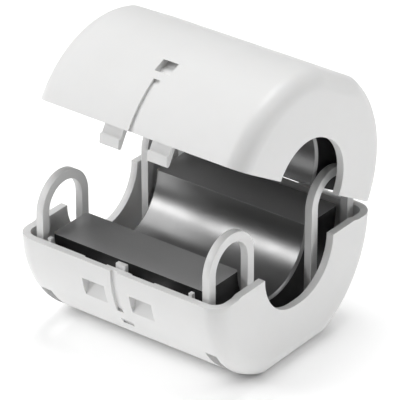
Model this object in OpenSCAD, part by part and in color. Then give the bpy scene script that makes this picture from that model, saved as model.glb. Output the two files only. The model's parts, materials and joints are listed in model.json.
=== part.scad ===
// Clip-on ferrite bead: a hinged two-part snap case that closes two ferrite half cores round a cable.
// The cable's axis is the X axis. The case's two rims meet just below it. +Z is up.

/* [Case] */
// Length of the case along the cable
case_l = 30.4; // [28:0.1:40]
// Width across the case at its rims
case_w = 31; // [30:0.1:40]
// Radius of the barrel's front and back curves
barrel_r = 14.3; // [13.5:0.1:15]
// Height of the flat top above the rims
top_h = 14; // [13.9:0.1:18]
// Depth of the flat bottom below the rims
bottom_h = 13.5; // [13.4:0.1:18]
// Thickness of the case's walls
wall = 0.95; // [0.8:0.05:1.2]
// Radius that rounds the barrel into its end walls
end_round = 2.4; // [1.6:0.1:3.5]
// Width of the cable mouths in the end walls
mouth_w = 13.5; // [11:0.1:15]
// Radius of the mouths' round corners, half their height when the case is shut
mouth_r = 6.2; // [5:0.05:7]
// Half width of the raised lips of the lower shell's end walls
lip_y = 11.2; // [9:0.1:12]

/* [Ferrite core] */
// Length of the core along the cable
core_l = 22.7; // [18:0.1:24]
// Outer diameter of the core
core_d = 26; // [22:0.1:26]
// Diameter of the core's cable bore
core_bore = 13.3; // [9:0.1:15]
// Half height of the core across its two flats
core_h = 12.6; // [10:0.1:12.7]
// Height of the core's joint face above the case's rims
core_rise = 0.25; // [0.1:0.05:0.4]
// Gap between the two half cores when the case is shut
core_gap = 0.06; // [0.02:0.01:0.2]
// Chamfer on the core's end edges
core_chamfer = 0.3; // [0.1:0.05:0.5]

/* [Grip arches] */
// Distance of each arch's middle plane from the case's centre, along the cable
arch_x = 12.3; // [12.1:0.05:13]
// Thickness of an arch along the cable
arch_t = 1; // [0.8:0.05:1.2]
// Outer radius of an arch
arch_r = 4.25; // [3.5:0.05:4.4]
// Width of an arch's band
arch_band = 1.2; // [0.9:0.05:1.5]
// Height of an arch's top above the rim
arch_top = 7; // [5:0.1:8]
// Distance of an arch's centre from the cable axis
arch_y = 9.95; // [9.4:0.05:10.2]

/* [Latch] */
// Distance of each hook's centre from the middle of the case
hook_x = 3.5; // [2.8:0.1:5]
// Width of a hook
hook_w = 2.8; // [2:0.1:3.2]
// Offset of the pair of hooks from the middle, along the cable
hook_mid = -0.1; // [-0.2:0.05:0.2]
// Length of a hook below the upper rim
hook_l = 2.45; // [2.2:0.05:3]
// Thickness of a hook's neck
hook_t = 0.7; // [0.5:0.05:0.8]
// How far a hook's barb stands out of its neck
barb = 0.3; // [0.2:0.05:0.4]
// Length of the neck between the upper rim and the barb
neck_l = 1.2; // [1:0.05:1.6]
// Height of each release window below a hook
window_h = 2.6; // [1.5:0.1:3.5]

/* [Middle groove] */
// Distance of the upper shell's groove from the middle, along the cable
groove_x = -0.6; // [-2:0.1:2]
// Distance of the lower shell's groove from the middle, along the cable
lower_groove_x = -0.25; // [-2:0.05:2]
// Width of the groove down the middle of the front
groove_w = 0.95; // [0.4:0.05:1.5]
// Depth of the groove
groove_d = 0.35; // [0.2:0.05:0.5]
// Depth below the lower rim at which the lower groove ends
lower_groove_l = 6; // [4:0.1:8]
// Height above the upper rim at which the upper groove ends
upper_groove_l = 6.9; // [4:0.1:8]
// Width of the small pockets that follow the groove
pocket_w = 2.2; // [1:0.1:3]
// Height of the upper pocket
pocket_h = 1.5; // [0.8:0.1:2]
// Depth of the upper pocket
pocket_d = 0.9; // [0.4:0.05:1]

/* [Hinge] */
// Distance of the hinge pin's axis outside the back of the case
hinge_out = 0.6; // [0.5:0.05:1.2]
// Height of the hinge pin's axis above the rims
hinge_up = 0.95; // [0.8:0.05:1.4]
// Radius of the hinge pin
pin_r = 0.7; // [0.5:0.05:0.8]
// Radial clearance of the pin in its eyes
pin_gap = 0.06; // [0.03:0.01:0.1]
// Outer radius of the hinge's knuckles
knuckle_r = 1.4; // [1.25:0.05:1.6]
// Length of the middle knuckle
knuckle_l = 8; // [5:0.1:10]
// Length of each outer eye
eye_l = 2.8; // [2:0.1:4]
// Angle at which the case stands open, in degrees
open_angle = 30.6; // [0:0.1:110]

/* [Hidden] */
$fn = 96;
small_fn = 48;
far = 60;                                // longer than any cut needs to be
eps = 0.01;
fit_gap = 0.15;                          // clearance between mating shell details
core_r = core_d / 2;
bore_r = core_bore / 2;
rim_z = -core_rise;                      // height of the rims' plane
seat_gap = 0.1;                          // clearance of the core in its cradle ribs
rib_t = 1;
rib_x = 0.7 * core_l / 2;                // cradle ribs' distance from the centre
rib_z = 2.5;                             // height above which the lid's cradle ribs start
stop_rise = 2;                           // end stops start this far from the bore
inner_l = case_l - 2 * wall;
inner_w = case_w - 2 * wall;
inner_r = barrel_r - wall;
inner_round = max(end_round - wall, 0.5);
front_y = -case_w / 2;
hinge_y = case_w / 2 + hinge_out;
arch_z = arch_top - arch_r;
hook_y = front_y + wall - 0.1;           // outer face of the hooks' necks
catch_w = hook_w + 2 * (fit_gap + abs(hook_mid));    // width of the space that each hook enters
strap_y = hook_y - 0.08;                 // inner face of the strap that the hooks pass
lid_z = core_rise + core_gap / 2;        // height of the upper shell's rim when shut
mouth_side = mouth_w / 2 - mouth_r;      // distance of the mouths' corner centres from the middle
catch_z = lid_z - neck_l + 0.05;         // ledge that the barbs catch under
window_z = -hook_l - 0.2;                // top of the release windows
window_side = 0.75;                      // walls beside a release window
ramp_y = -core_r - 0.65;                 // deepest point of a window's ramp
eye_x = knuckle_l / 2 + fit_gap + eye_l / 2;
stop_w = 1;                              // width of the end stops that hold the core lengthwise
block_foot = 0.6;                        // blocks behind the windows reach this far below them
tab_x = 10.45;                           // side tabs' distance from their own middle
tab_mid = -0.25;                         // that middle, along the cable
tab_w = 0.5;
tab_t = 0.55;
tab_h = 0.3;                             // height of a side tab above the rim
mid_tab_w = 1.4;
mid_tab_h = 0.55;
tab_root = 2.2;                          // depth of a rim tab's root below the rim
lip_slope = 0.7;                         // run of the sloped ends of the raised lips
lower_arm_h = 3.8;                       // height of the hinge arms down the back wall
upper_arm_h = 2.2;                       // height of the hinge arm up the lid's back wall
arm_foot = 1.2;                          // how far an arm's foot runs on along the wall
hook_root = 3.2;                         // height of a hook's root above the upper rim
hook_tip = 0.2;                          // bevel on a hook's tip
arch_room = 0.25;                        // clearance round an arch in the lid
pocket_z = upper_groove_l + 0.9;         // foot of the upper pocket
pocket_wall = 0.7;                       // walls left behind and beside the upper pocket
low_pocket_z = -lower_groove_l - 1.4;    // top of the lower pocket
low_pocket_h = 0.9;
low_pocket_d = 0.6;

// ---- shared shapes ----

// Half of a rectangle with its two outer corners rounded, for a barrel's disc: r out, len along Y
module disc_profile(r, len, round) {
    translate([0, -len / 2]) square([r - round, len]);
    translate([0, -len / 2 + round]) square([r, len - 2 * round]);
    for (side = [-1, 1])
        translate([r - round, side * (len / 2 - round)]) circle(round, $fn = small_fn);
}

// Rectangle with rounded corners, centred
module slab_profile(len, height, round) {
    square([len - 2 * round, height], center = true);
    square([len, height - 2 * round], center = true);
    for (sx = [-1, 1], sz = [-1, 1])
        translate([sx * (len / 2 - round), sz * (height / 2 - round)]) circle(round, $fn = small_fn);
}

// Draws a shape given in Y and Z as a plate of thickness t, centred on x
module plate(x, t) {
    translate([x - t / 2, 0, 0]) rotate([90, 0, 90]) linear_extrude(t) children();
}

// Barrel along X with a slot-shaped section, flat at +flat and -flat, and rounded ends
module barrel(len, w, r, flat, round) {
    intersection() {
        union() {
            for (side = [-1, 1])
                translate([0, side * (w / 2 - r), 0])
                    rotate([0, 90, 0]) rotate_extrude() disc_profile(r, len, round);
            rotate([90, 0, 0]) linear_extrude(w - 2 * r, center = true) slab_profile(len, 2 * r, round);
        }
        rotate([90, 0, 0]) linear_extrude(w + 2, center = true) slab_profile(len, 2 * flat, round);
    }
}

// Everything above height z, or below it when side is -1
module half_space(side, z = 0) {
    translate([-far / 2, -far / 2, side > 0 ? z : z - far]) cube([far, far, far]);
}

module outer_barrel(flat) barrel(case_l, case_w, barrel_r, flat, end_round);
module inner_barrel(flat) barrel(inner_l, inner_w, inner_r, flat - wall, inner_round);

// The barrel's whole wall
module full_shell(flat) {
    difference() {
        outer_barrel(flat);
        inner_barrel(flat);
    }
}

// Raised lips of the lower end walls, which meet the upper shell's rim
module end_lips() {
    lip_h = core_rise - core_gap / 2;
    intersection() {
        full_shell(bottom_h);
        plate(0, far) polygon([[-lip_y - lip_slope, 0], [-lip_y, lip_h], [lip_y, lip_h],
            [lip_y + lip_slope, 0], [lip_y, -wall], [-lip_y, -wall]]);
    }
}

// Cradle ribs and end stops that hold a half core in its shell
module core_seat(side, flat) {
    intersection() {
        union() {
            for (sx = [-1, 1]) {
                translate([sx * rib_x - rib_t / 2, -far / 2, side > 0 ? rib_z : -far])
                    cube([rib_t, far, far - rib_z]);
                translate([sx > 0 ? core_l / 2 + seat_gap : -far, -stop_w / 2,
                    side > 0 ? bore_r + stop_rise : -far])
                    cube([far - core_l / 2 - seat_gap, stop_w, far - bore_r - stop_rise]);
            }
        }
        difference() {
            barrel(inner_l + wall, inner_w + wall, inner_r + wall / 2, flat - wall / 2, end_round);
            intersection() {
                translate([-core_l, 0, core_rise]) rotate([0, 90, 0])
                    cylinder(2 * core_l, core_r + seat_gap, core_r + seat_gap);
                translate([-core_l / 2 - seat_gap, -far / 2, core_rise - core_h])
                    cube([core_l + 2 * seat_gap, far, 2 * core_h]);
            }
        }
        half_space(side, side > 0 ? lid_z : 0);
    }
}

// Oval hole for the cable, through both end walls
module mouths() {
    for (sy = [-1, 1])
        translate([-far / 2, sy * mouth_side, core_rise]) rotate([0, 90, 0]) cylinder(far, mouth_r, mouth_r);
    translate([-far / 2, -mouth_side, core_rise - mouth_r]) cube([far, 2 * mouth_side, 2 * mouth_r]);
}

// Groove cut into the barrel's front, from the rim to height z
module front_groove(x, z, flat) {
    difference() {
        translate([x - groove_w / 2, -far / 2, min(z, 0)]) cube([groove_w, far / 2, abs(z)]);
        barrel(case_l, case_w - 2 * groove_d, barrel_r - groove_d, flat, end_round);
    }
}

// Half core, above the joint for side 1 and below it for side -1, with its bore on the X axis
module half_core(side) {
    intersection() {
        rotate([0, 90, 0]) rotate_extrude() polygon([
            [bore_r, -core_l / 2 + core_chamfer],
            [bore_r + core_chamfer, -core_l / 2],
            [core_r - core_chamfer, -core_l / 2],
            [core_r, -core_l / 2 + core_chamfer],
            [core_r, core_l / 2 - core_chamfer],
            [core_r - core_chamfer, core_l / 2],
            [bore_r + core_chamfer, core_l / 2],
            [bore_r, core_l / 2 - core_chamfer]]);
        translate([-far / 2, -far / 2, side > 0 ? core_gap / 2 : -core_h])
            cube([far, far, core_h - core_gap / 2]);
    }
}

// ---- lower shell ----

// Outline of one grip arch and its two legs, in Y and Z
module arch_outline() {
    difference() {
        union() {
            translate([0, arch_z]) circle(arch_r);
            translate([-arch_r, -far / 2]) square([2 * arch_r, far / 2 + arch_z]);
        }
        translate([0, arch_z]) circle(arch_r - arch_band);
        translate([-arch_r + arch_band, -far / 2])
            square([2 * (arch_r - arch_band), far / 2 + arch_z]);
    }
}

module grip_arches() {
    intersection() {
        for (sx = [-1, 1], sy = [-1, 1])
            plate(sx * arch_x, arch_t) translate([sy * arch_y, 0]) arch_outline();
        union() {
            barrel(inner_l + wall, inner_w + wall, inner_r + wall / 2, bottom_h - wall / 2, end_round);
            half_space(1);
        }
    }
}

// Openings in the shell's underside, below the arches, through which the arches are moulded
module arch_slots() {
    slot_t = arch_t + 4 * fit_gap;
    slot_w = 2 * (arch_r - arch_band) + 2 * fit_gap;
    for (sx = [-1, 1], sy = [-1, 1])
        translate([sx * arch_x - slot_t / 2, sy * (arch_y + fit_gap) - slot_w / 2, -far - 4])
            cube([slot_t, slot_w, far]);
}

// Thickened block inside the front wall behind each release window
module window_blocks() {
    block_w = catch_w + 2 * (window_side - fit_gap);
    foot_z = window_z - window_h - block_foot;
    intersection() {
        for (sx = [-1, 1])
            plate(sx * hook_x, block_w)
                polygon([
                    [-far, window_z],
                    [ramp_y + 0.45, window_z],
                    [ramp_y + 0.45, window_z - block_foot],
                    [ramp_y + 0.1, foot_z],
                    [-far, foot_z]]);
        barrel(inner_l + wall, inner_w + wall, inner_r + wall / 2, bottom_h - wall / 2, end_round);
    }
}

// Wedge-shaped release windows: deep at the top, flush at the foot
module windows() {
    foot_z = window_z - window_h;
    foot_y = -(case_w / 2 - barrel_r) - sqrt(pow(barrel_r, 2) - pow(foot_z, 2));
    for (sx = [-1, 1])
        plate(sx * hook_x, catch_w)
            polygon([[-far, window_z + eps], [ramp_y, window_z + eps], [foot_y, foot_z], [-far, foot_z]]);
}

// Room for the hooks behind the lip, and for their barbs below it
module hook_pockets() {
    for (sx = [-1, 1]) {
        translate([sx * hook_x - catch_w / 2, strap_y, window_z])
            cube([catch_w, hook_t + 0.4, far]);
        translate([sx * hook_x - catch_w / 2, hook_y - barb - 0.05, window_z])
            cube([catch_w, hook_t + 0.4, catch_z - window_z]);
    }
}

// Small tabs that rise inside the front rim and line the two shells up
module rim_tab(x, w, h) {
    tab_y = front_y + wall + fit_gap;
    translate([x - w / 2, tab_y, -tab_root]) cube([w, tab_t, tab_root + h]);
    translate([x - w / 2, tab_y - 2 * fit_gap, -tab_root]) cube([w, tab_t, tab_root - fit_gap]);
}

module rim_tabs() {
    for (sx = [-1, 1]) rim_tab(tab_mid + sx * tab_x, tab_w, tab_h);
    rim_tab(0, mid_tab_w, mid_tab_h);
}

// Outline of a hinge knuckle with its arm to the case's back wall, in Y and Z
module knuckle_outline(side) {
    translate([hinge_y, hinge_up]) circle(knuckle_r, $fn = small_fn);
    arm_h = side > 0 ? upper_arm_h : lower_arm_h;
    polygon([
        [hinge_y + knuckle_r, hinge_up],
        [case_w / 2 - wall / 2, hinge_up],
        [case_w / 2 - wall / 2, hinge_up + side * (arm_h + arm_foot)],
        [case_w / 2, hinge_up + side * (arm_h + arm_foot)],
        [hinge_y + knuckle_r, hinge_up + side * arm_h * 0.45]]);
}

module pin_line(r, x0, len) {
    translate([x0, hinge_y, hinge_up]) rotate([0, 90, 0]) cylinder(len, r, r, $fn = small_fn);
}

module lower_eyes() {
    for (sx = [-1, 1]) plate(sx * eye_x, eye_l) knuckle_outline(-1);
}

module lower_shell_shape() {
    difference() {
        union() {
            intersection() {
                full_shell(bottom_h);
                half_space(-1);
            }
            end_lips();
            core_seat(-1, bottom_h);
            window_blocks();
            rim_tabs();
            lower_eyes();
        }
        mouths();
        arch_slots();
        windows();
        hook_pockets();
        front_groove(lower_groove_x, -lower_groove_l, bottom_h);
        lower_pocket();
        // room for the middle knuckle, and the pin's hole through the eyes
        pin_line(knuckle_r + fit_gap, -knuckle_l / 2 - fit_gap, knuckle_l + 2 * fit_gap);
        pin_line(pin_r + pin_gap, -far / 2, far);
    }
    grip_arches();
}

// Shallow wedge below the end of the lower groove
module lower_pocket() {
    skin_y = -(case_w / 2 - barrel_r) - sqrt(pow(barrel_r, 2) - pow(low_pocket_z, 2));
    foot_z = low_pocket_z - low_pocket_h;
    plate(0, pocket_w * 0.8) polygon([
        [-far, low_pocket_z],
        [skin_y + low_pocket_d, low_pocket_z],
        [skin_y + low_pocket_d + 0.2, foot_z],
        [-far, foot_z]]);
}

module lower_shell() {
    color("whitesmoke") translate([0, 0, rim_z]) lower_shell_shape();
}

// ---- upper shell, drawn shut ----

// Snap hook: a neck inside the front rim with a barb that points outwards
module hooks() {
    for (sx = [-1, 1])
        translate([0, 0, lid_z]) plate(hook_mid + sx * hook_x, hook_w)
            polygon([
                [hook_y, hook_root],
                [hook_y + hook_t, hook_root - 1],
                [hook_y + hook_t, -hook_l + hook_tip],
                [hook_y + hook_t - hook_tip, -hook_l],
                [hook_y + 0.15, -hook_l],
                [hook_y - barb, -neck_l - 0.25],
                [hook_y - barb, -neck_l],
                [hook_y, -neck_l]]);
}

// Room in the front and back walls for the arches
module arch_relief() {
    relief_t = arch_t + 4 * fit_gap;
    for (sx = [-1, 1], sy = [-1, 1])
        translate([sx * arch_x - relief_t / 2, sy * arch_y, arch_z]) rotate([0, 90, 0])
            cylinder(relief_t, arch_r + arch_room, arch_r + arch_room);
    for (sx = [-1, 1])
        translate([sx * arch_x - relief_t / 2, -arch_y - arch_r - arch_room, -1])
            cube([relief_t, 2 * (arch_y + arch_r + arch_room), arch_z + 1]);
}

// Block inside the front wall behind the upper pocket
module pocket_block() {
    back_d = pocket_d + pocket_wall;
    intersection() {
        translate([groove_x - pocket_w / 2 - pocket_wall, -far / 2, pocket_z - pocket_wall])
            cube([pocket_w + 2 * pocket_wall, far / 2, pocket_h + 2 * pocket_wall]);
        difference() {
            outer_barrel(top_h);
            barrel(case_l, case_w - 2 * back_d, barrel_r - back_d, top_h - wall, end_round);
        }
    }
}

module upper_pocket() {
    difference() {
        translate([groove_x - pocket_w / 2, -far / 2, pocket_z]) cube([pocket_w, far / 2, pocket_h]);
        barrel(case_l, case_w - 2 * pocket_d, barrel_r - pocket_d, top_h, end_round);
    }
}

module upper_shell_shape() {
    difference() {
        union() {
            intersection() {
                full_shell(top_h);
                half_space(1, lid_z);
            }
            core_seat(1, top_h);
            pocket_block();
            hooks();
            plate(0, knuckle_l) knuckle_outline(1);
        }
        mouths();
        arch_relief();
        front_groove(groove_x, upper_groove_l, top_h);
        upper_pocket();
        // room for the outer eyes
        for (sx = [-1, 1])
            pin_line(knuckle_r + fit_gap, sx * eye_x - eye_l / 2 - fit_gap, eye_l + 2 * fit_gap);
    }
    pin_line(pin_r, -eye_x - eye_l / 2, 2 * eye_x + eye_l);
}

// Turns a piece of the upper half about the hinge, from shut to the open rest position
module opened() {
    translate([0, hinge_y, hinge_up + rim_z]) rotate([-open_angle, 0, 0])
        translate([0, -hinge_y, -hinge_up - rim_z]) children();
}

module upper_shell() {
    color("whitesmoke") opened() translate([0, 0, rim_z]) upper_shell_shape();
}

// ---- ferrite half cores ----

module lower_core() {
    color("dimgray") half_core(-1);
}

module upper_core() {
    color("dimgray") opened() half_core(1);
}

lower_shell();
upper_shell();
lower_core();
upper_core();
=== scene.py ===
import bpy
import bmesh
import json
import math
from mathutils import Matrix, Vector


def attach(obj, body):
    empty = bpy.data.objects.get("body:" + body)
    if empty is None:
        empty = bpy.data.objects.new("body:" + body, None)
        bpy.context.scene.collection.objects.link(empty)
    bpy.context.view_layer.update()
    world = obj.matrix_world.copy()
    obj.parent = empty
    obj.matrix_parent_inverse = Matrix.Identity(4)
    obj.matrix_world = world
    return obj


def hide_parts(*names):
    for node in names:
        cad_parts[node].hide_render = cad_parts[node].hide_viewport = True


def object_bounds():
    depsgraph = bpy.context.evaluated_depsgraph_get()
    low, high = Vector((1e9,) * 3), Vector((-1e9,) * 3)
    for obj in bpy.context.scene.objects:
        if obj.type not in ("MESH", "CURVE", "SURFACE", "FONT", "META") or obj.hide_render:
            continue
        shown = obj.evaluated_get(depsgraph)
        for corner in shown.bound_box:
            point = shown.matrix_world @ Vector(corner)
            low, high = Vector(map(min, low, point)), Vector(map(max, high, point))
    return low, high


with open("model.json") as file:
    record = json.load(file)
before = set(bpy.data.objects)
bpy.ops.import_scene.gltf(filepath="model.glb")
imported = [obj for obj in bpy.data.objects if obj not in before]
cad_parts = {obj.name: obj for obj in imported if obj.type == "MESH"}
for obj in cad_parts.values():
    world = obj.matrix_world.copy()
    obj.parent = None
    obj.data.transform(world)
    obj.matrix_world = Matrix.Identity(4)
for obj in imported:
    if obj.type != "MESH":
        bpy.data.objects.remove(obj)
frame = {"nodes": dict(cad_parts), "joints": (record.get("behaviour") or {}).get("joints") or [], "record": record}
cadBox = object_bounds()
mm = 0.001
scene = bpy.context.scene
print("frame loaded:", ", ".join(sorted(frame["nodes"])))

# the lid's hinge, taken from the joint, so faces of the lid can be sorted as if it were shut
hinge = frame["joints"][0]
hingePoint = Vector(hinge["pos_m"])
openAngle = math.radians(-hinge["range_deg"][0])
shutLid = (Matrix.Translation(hingePoint) @ Matrix.Rotation(openAngle, 4, "X")
           @ Matrix.Translation(-hingePoint))


def newMaterial(name):
    mat = bpy.data.materials.new(name)
    mat.use_nodes = True
    shader = mat.node_tree.nodes["Principled BSDF"]
    return mat, mat.node_tree, shader


def addNode(tree, kind, **settings):
    # a setting named like one of the node's inputs fills that input
    node = tree.nodes.new(kind)
    for key, value in settings.items():
        if key in node.inputs:
            node.inputs[key].default_value = value
        else:
            setattr(node, key, value)
    return node


def grain(tree, scale, detail, rough=0.55):
    # noise in the part's own metres, so every piece has the same size of grain
    place = addNode(tree, "ShaderNodeTexCoord")
    noise = addNode(tree, "ShaderNodeTexNoise", Scale=scale, Detail=detail, Roughness=rough)
    tree.links.new(place.outputs["Object"], noise.inputs["Vector"])
    return noise.outputs["Fac"]


def ramp(tree, source, low, high, start=0.3, end=0.7):
    # maps a grey value between start and end onto a range of numbers
    node = addNode(tree, "ShaderNodeMapRange")
    node.inputs["From Min"].default_value = start
    node.inputs["From Max"].default_value = end
    node.inputs["To Min"].default_value = low
    node.inputs["To Max"].default_value = high
    tree.links.new(source, node.inputs["Value"])
    return node.outputs["Result"]


def twoTone(tree, source, first, second):
    mix = addNode(tree, "ShaderNodeMix", data_type="RGBA")
    mix.inputs["A"].default_value = (*first, 1)
    mix.inputs["B"].default_value = (*second, 1)
    tree.links.new(source, mix.inputs["Factor"])
    return mix.outputs["Result"]


def bumpOn(tree, shader, source, distance, strength, before=None):
    # lies on top of the bump before it, if there is one
    bump = addNode(tree, "ShaderNodeBump", Strength=strength, Distance=distance)
    tree.links.new(source, bump.inputs["Height"])
    if before:
        tree.links.new(before, bump.inputs["Normal"])
    tree.links.new(bump.outputs["Normal"], shader.inputs["Normal"])
    return bump.outputs["Normal"]


# nylon of the case; scales are for noise in metres, so a larger one is finer
nylon = {
    "colour": (0.80, 0.80, 0.796),
    "cloud": (0.775, 0.775, 0.770),       # faint clouding in the moulding
    "cloudScale": 90,
    "roughness": (0.36, 0.46),
    "roughScale": 900,
    "grainScale": 5200,                   # fine grain of the mould
    "grainDepth": 0.006 * mm,
    "grainStrength": 0.5,
    "waveScale": 160,                     # slow unevenness of the walls
    "waveDepth": 0.05 * mm,
    "waveStrength": 0.25,
    "shine": 1.53,                        # index of refraction
    "depth": 0.08,                        # how much light goes into the plastic
    "reach": 0.6 * mm,                    # how far that light goes
    "spread": (1.0, 0.9, 0.8),            # share of that reach for red, green and blue
}


def nylonMaterial(name):
    mat, tree, shader = newMaterial(name)
    cloud = ramp(tree, grain(tree, nylon["cloudScale"], 4), 0, 1)
    tree.links.new(twoTone(tree, cloud, nylon["colour"], nylon["cloud"]),
                   shader.inputs["Base Color"])
    satin = ramp(tree, grain(tree, nylon["roughScale"], 2), *nylon["roughness"])
    tree.links.new(satin, shader.inputs["Roughness"])
    mouldGrain = bumpOn(tree, shader, grain(tree, nylon["grainScale"], 2),
                        nylon["grainDepth"], nylon["grainStrength"])
    bumpOn(tree, shader, grain(tree, nylon["waveScale"], 2),
           nylon["waveDepth"], nylon["waveStrength"], mouldGrain)
    shader.inputs["IOR"].default_value = nylon["shine"]
    shader.inputs["Subsurface Weight"].default_value = nylon["depth"]
    shader.inputs["Subsurface Radius"].default_value = nylon["spread"]
    shader.inputs["Subsurface Scale"].default_value = nylon["reach"]
    return mat


# ferrite of the cores: depth of the grain, fleck for how much the grain darkens,
# and shine for the index of refraction
ferrite = {
    "ground": {
        "colour": (0.29, 0.29, 0.292),
        "roughness": (0.30, 0.38),
        "depth": 0.0008 * mm,
        "fleck": 0.06,
        "shine": 2.2,
    },
    "bore": {
        "colour": (0.034, 0.034, 0.035),
        "roughness": (0.30, 0.35),
        "depth": 0.0003 * mm,
        "fleck": 0.10,
        "shine": 3.0,
    },
    "sintered": {
        "colour": (0.009, 0.009, 0.010),
        "roughness": (0.5, 0.6),
        "depth": 0.004 * mm,
        "fleck": 0.35,
        "shine": 1.6,
    },
}
ferriteGrain = {
    "speckScale": 9000,
    "speckRough": 0.6,
    "speckRange": (0.40, 0.60),           # greys of the noise between dark and pale specks
    "speckStrength": 0.5,
    "roughScale": 350,
}


def ferriteMaterial(name, finish):
    look = ferrite[finish]
    mat, tree, shader = newMaterial(name)
    speck = grain(tree, ferriteGrain["speckScale"], 3, ferriteGrain["speckRough"])
    darker = tuple(c * (1 - look["fleck"]) for c in look["colour"])
    specks = ramp(tree, speck, 0, 1, *ferriteGrain["speckRange"])
    tree.links.new(twoTone(tree, specks, darker, look["colour"]), shader.inputs["Base Color"])
    polish = ramp(tree, grain(tree, ferriteGrain["roughScale"], 3), *look["roughness"])
    tree.links.new(polish, shader.inputs["Roughness"])
    bumpOn(tree, shader, speck, look["depth"], ferriteGrain["speckStrength"])
    shader.inputs["IOR"].default_value = look["shine"]
    return mat


softening = {
    "weld": 0.0005 * mm,                  # points closer than this become one
    "flat": math.radians(0.4),            # faces this near to one plane become one
    "sharp": math.radians(32),            # edges sharper than this are rounded
    "segments": 2,
    "largeFaces": 80,                     # how strongly large faces set the shading
}


def softCopy(node, name, edge):
    # a soft-edged piece, made from a copy of its CAD node's mesh
    mesh = frame["nodes"][node].data.copy()
    bm = bmesh.new()
    bm.from_mesh(mesh)
    bmesh.ops.remove_doubles(bm, verts=bm.verts, dist=softening["weld"])
    bmesh.ops.dissolve_degenerate(bm, edges=bm.edges, dist=softening["weld"])
    bmesh.ops.dissolve_limit(bm, angle_limit=softening["flat"], verts=bm.verts, edges=bm.edges)
    bm.to_mesh(mesh)
    bm.free()
    mesh.materials.clear()
    piece = bpy.data.objects.new(name, mesh)
    scene.collection.objects.link(piece)
    for face in mesh.polygons:
        face.use_smooth = True
    bevel = piece.modifiers.new("softEdges", "BEVEL")
    bevel.width = edge
    bevel.segments = softening["segments"]
    bevel.limit_method = "ANGLE"
    bevel.angle_limit = softening["sharp"]
    bevel.miter_outer = "MITER_ARC"
    bevel.use_clamp_overlap = True
    bevel.harden_normals = True
    weight = piece.modifiers.new("evenNormals", "WEIGHTED_NORMAL")
    weight.keep_sharp = True
    weight.weight = softening["largeFaces"]
    bpy.context.view_layer.update()
    seen = piece.evaluated_get(bpy.context.evaluated_depsgraph_get())
    shaped = bpy.data.meshes.new_from_object(seen)
    piece.modifiers.clear()
    piece.data = shaped
    return piece


lowerCase = {"edge": 0.10 * mm}

lowerShell = softCopy("lower_shell", "lowerShell", lowerCase["edge"])
lowerShell.data.materials.append(nylonMaterial("nylonLower"))
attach(lowerShell, "base")
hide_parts("lower_shell")

upperCase = {"edge": 0.10 * mm}

upperShell = softCopy("upper_shell", "upperShell", upperCase["edge"])
upperShell.data.materials.append(nylonMaterial("nylonUpper"))
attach(upperShell, "lid")
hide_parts("upper_shell")
print("case pieces made:", len(lowerShell.data.polygons), len(upperShell.data.polygons))

cores = {
    "edge": 0.025 * mm,
    "chamferReach": 0.4 * mm,             # the bore's end chamfers lie this near to the bore
    "chamferFacing": (0.3, 0.95),         # and face along the cable by between these
    "jointReach": 0.3 * mm,               # the ground joint lies this near to the parting plane
    "jointFacing": 0.3,                   # and faces the other half by more than this
    "boreReach": 0.15 * mm,
    "boreFacing": 0.5,                    # the bore faces along the cable by less than this
}


def dressCore(piece, shut, side):
    # sorts the faces into ground joint and chamfers, polished bore and as-fired outside
    mesh = piece.data
    for finish in ("ground", "bore", "sintered"):
        mesh.materials.append(ferriteMaterial(piece.name + finish.capitalize(), finish))
    boreRadius = frame["record"]["mounts"][0]["dims"]["r_mm"] * mm
    turn = shut.to_3x3()
    flattest, steepest = cores["chamferFacing"]
    for face in mesh.polygons:
        place = shut @ face.center
        facing = turn @ face.normal
        radius = math.hypot(place.y, place.z)
        along = abs(facing.x)
        chamfer = radius < boreRadius + cores["chamferReach"] and flattest < along < steepest
        joint = abs(place.z) < cores["jointReach"] and facing.z * side < -cores["jointFacing"]
        if chamfer or joint:
            face.material_index = 0
        elif radius < boreRadius + cores["boreReach"] and along < cores["boreFacing"]:
            face.material_index = 1
        else:
            face.material_index = 2


lowerCore = softCopy("lower_core", "lowerCore", cores["edge"])
dressCore(lowerCore, Matrix.Identity(4), -1)
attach(lowerCore, "base")
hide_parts("lower_core")

upperCore = softCopy("upper_core", "upperCore", cores["edge"])
dressCore(upperCore, shutLid, 1)
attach(upperCore, "lid")
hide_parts("upper_core")
print("cores made:", len(lowerCore.data.polygons), len(upperCore.data.polygons))

floorLook = {
    "size": 3.0,
    "colour": (0.92, 0.92, 0.92),
    "cloud": 0.995,                       # share of the colour left in the faint clouds
    "cloudScale": 30,
    "roughness": 0.8,
    "glow": (0.0, 0.35),                  # the floor's glow, a painted light: beside the case's foot, where it leaves a painted contact shadow, and further away
    "fade": 4.5 * mm,                     # distance over which the glow rises, so the painted contact shadow fades out
    "foot": (12.8 * mm, 6.0 * mm),        # half size of the case's foot
}


def footDistanceForPaintedShadow(tree):
    # distance from the rectangle that the case stands on; it shapes the painted contact shadow
    place = addNode(tree, "ShaderNodeTexCoord")
    size = addNode(tree, "ShaderNodeVectorMath", operation="ABSOLUTE")
    tree.links.new(place.outputs["Object"], size.inputs[0])
    past = addNode(tree, "ShaderNodeVectorMath", operation="SUBTRACT")
    past.inputs[1].default_value = (*floorLook["foot"], 1)
    tree.links.new(size.outputs["Vector"], past.inputs[0])
    outside = addNode(tree, "ShaderNodeVectorMath", operation="MAXIMUM")
    tree.links.new(past.outputs["Vector"], outside.inputs[0])
    length = addNode(tree, "ShaderNodeVectorMath", operation="LENGTH")
    tree.links.new(outside.outputs["Vector"], length.inputs[0])
    return length.outputs["Value"]


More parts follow.
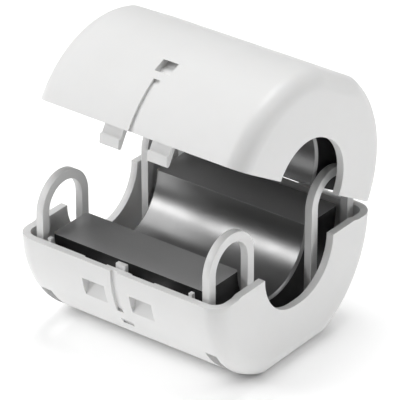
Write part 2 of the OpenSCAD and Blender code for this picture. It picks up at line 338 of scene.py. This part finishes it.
def makeFloor():
    mesh = bpy.data.meshes.new("floor")
    half = floorLook["size"] / 2
    z = cadBox[0][2]
    corners = [(-half, -half, z), (half, -half, z), (half, half, z), (-half, half, z)]
    mesh.from_pydata(corners, [], [(0, 1, 2, 3)])
    floor = bpy.data.objects.new("floor", mesh)
    scene.collection.objects.link(floor)
    mat, tree, shader = newMaterial("floorPaper")
    cloud = ramp(tree, grain(tree, floorLook["cloudScale"], 2), 0, 1)
    darker = tuple(c * floorLook["cloud"] for c in floorLook["colour"])
    tree.links.new(twoTone(tree, cloud, floorLook["colour"], darker), shader.inputs["Base Color"])
    shader.inputs["Roughness"].default_value = floorLook["roughness"]
    shader.inputs["Emission Color"].default_value = (1, 1, 1, 1)
    # the floor glows though it is no lamp, so it looks white and throws painted light onto the case's underside;
    # the glow falls to nothing towards the foot to paint a contact shadow
    glow = addNode(tree, "ShaderNodeMapRange", interpolation_type="SMOOTHSTEP")
    glow.inputs["From Max"].default_value = floorLook["fade"]
    glow.inputs["To Min"].default_value, glow.inputs["To Max"].default_value = floorLook["glow"]
    tree.links.new(footDistanceForPaintedShadow(tree), glow.inputs["Value"])
    tree.links.new(glow.outputs["Result"], shader.inputs["Emission Strength"])
    mesh.materials.append(mat)


makeFloor()
print("floor laid")

lights = [
    # name, azimuth, elevation, size, watts; azimuth 0 is the front, 90 the +X end
    ("softLeft", -52, 46, 0.44, 1.0),
    ("stripLeft", -38, 29, 0.16, 0.34),
    ("leftLow", -75, 10, 0.30, 0.15),
    ("rightBack", 118, 50, 0.25, 0.40),
    ("rightLow", 106, 3, 0.25, 0.60),
    ("high", -150, 76, 0.30, 1.5),
]
lightDistance = 0.5
worldLook = {"colour": (1, 1, 1), "strength": 0.05}


def makeLights():
    for name, azimuth, elevation, size, watts in lights:
        az, el = math.radians(azimuth), math.radians(elevation)
        away = Vector((math.sin(az) * math.cos(el), -math.cos(az) * math.cos(el), math.sin(el)))
        data = bpy.data.lights.new(name, "AREA")
        data.shape = "DISK"
        data.size = size
        data.energy = watts
        lamp = bpy.data.objects.new(name, data)
        lamp.location = away * lightDistance
        lamp.rotation_euler = away.to_track_quat("Z", "Y").to_euler()
        scene.collection.objects.link(lamp)
    world = bpy.data.worlds.new("studio")
    world.use_nodes = True
    back = world.node_tree.nodes["Background"]
    back.inputs["Color"].default_value = (*worldLook["colour"], 1)
    back.inputs["Strength"].default_value = worldLook["strength"]
    scene.world = world


makeLights()
scene.view_settings.view_transform = "Standard"
print("lights on:", len(lights))

cameraLook = {
    "place": (219.8 * mm, -285.8 * mm, 203.35 * mm),
    "azimuth": 37.49,
    "elevation": 29.12,                   # looks down by this
    "lens": 313.56,
    "sensor": 36,
    "nearest": 0.01,                      # seen from here
    "farthest": 10,                       # to here
}


def makeCamera():
    data = bpy.data.cameras.new("camera")
    data.lens = cameraLook["lens"]
    data.sensor_width = cameraLook["sensor"]
    data.clip_start = cameraLook["nearest"]
    data.clip_end = cameraLook["farthest"]
    camera = bpy.data.objects.new("camera", data)
    camera.location = cameraLook["place"]
    camera.rotation_euler = (math.radians(90 - cameraLook["elevation"]), 0,
                             math.radians(cameraLook["azimuth"]))
    scene.collection.objects.link(camera)
    scene.camera = camera


makeCamera()
print("camera placed")
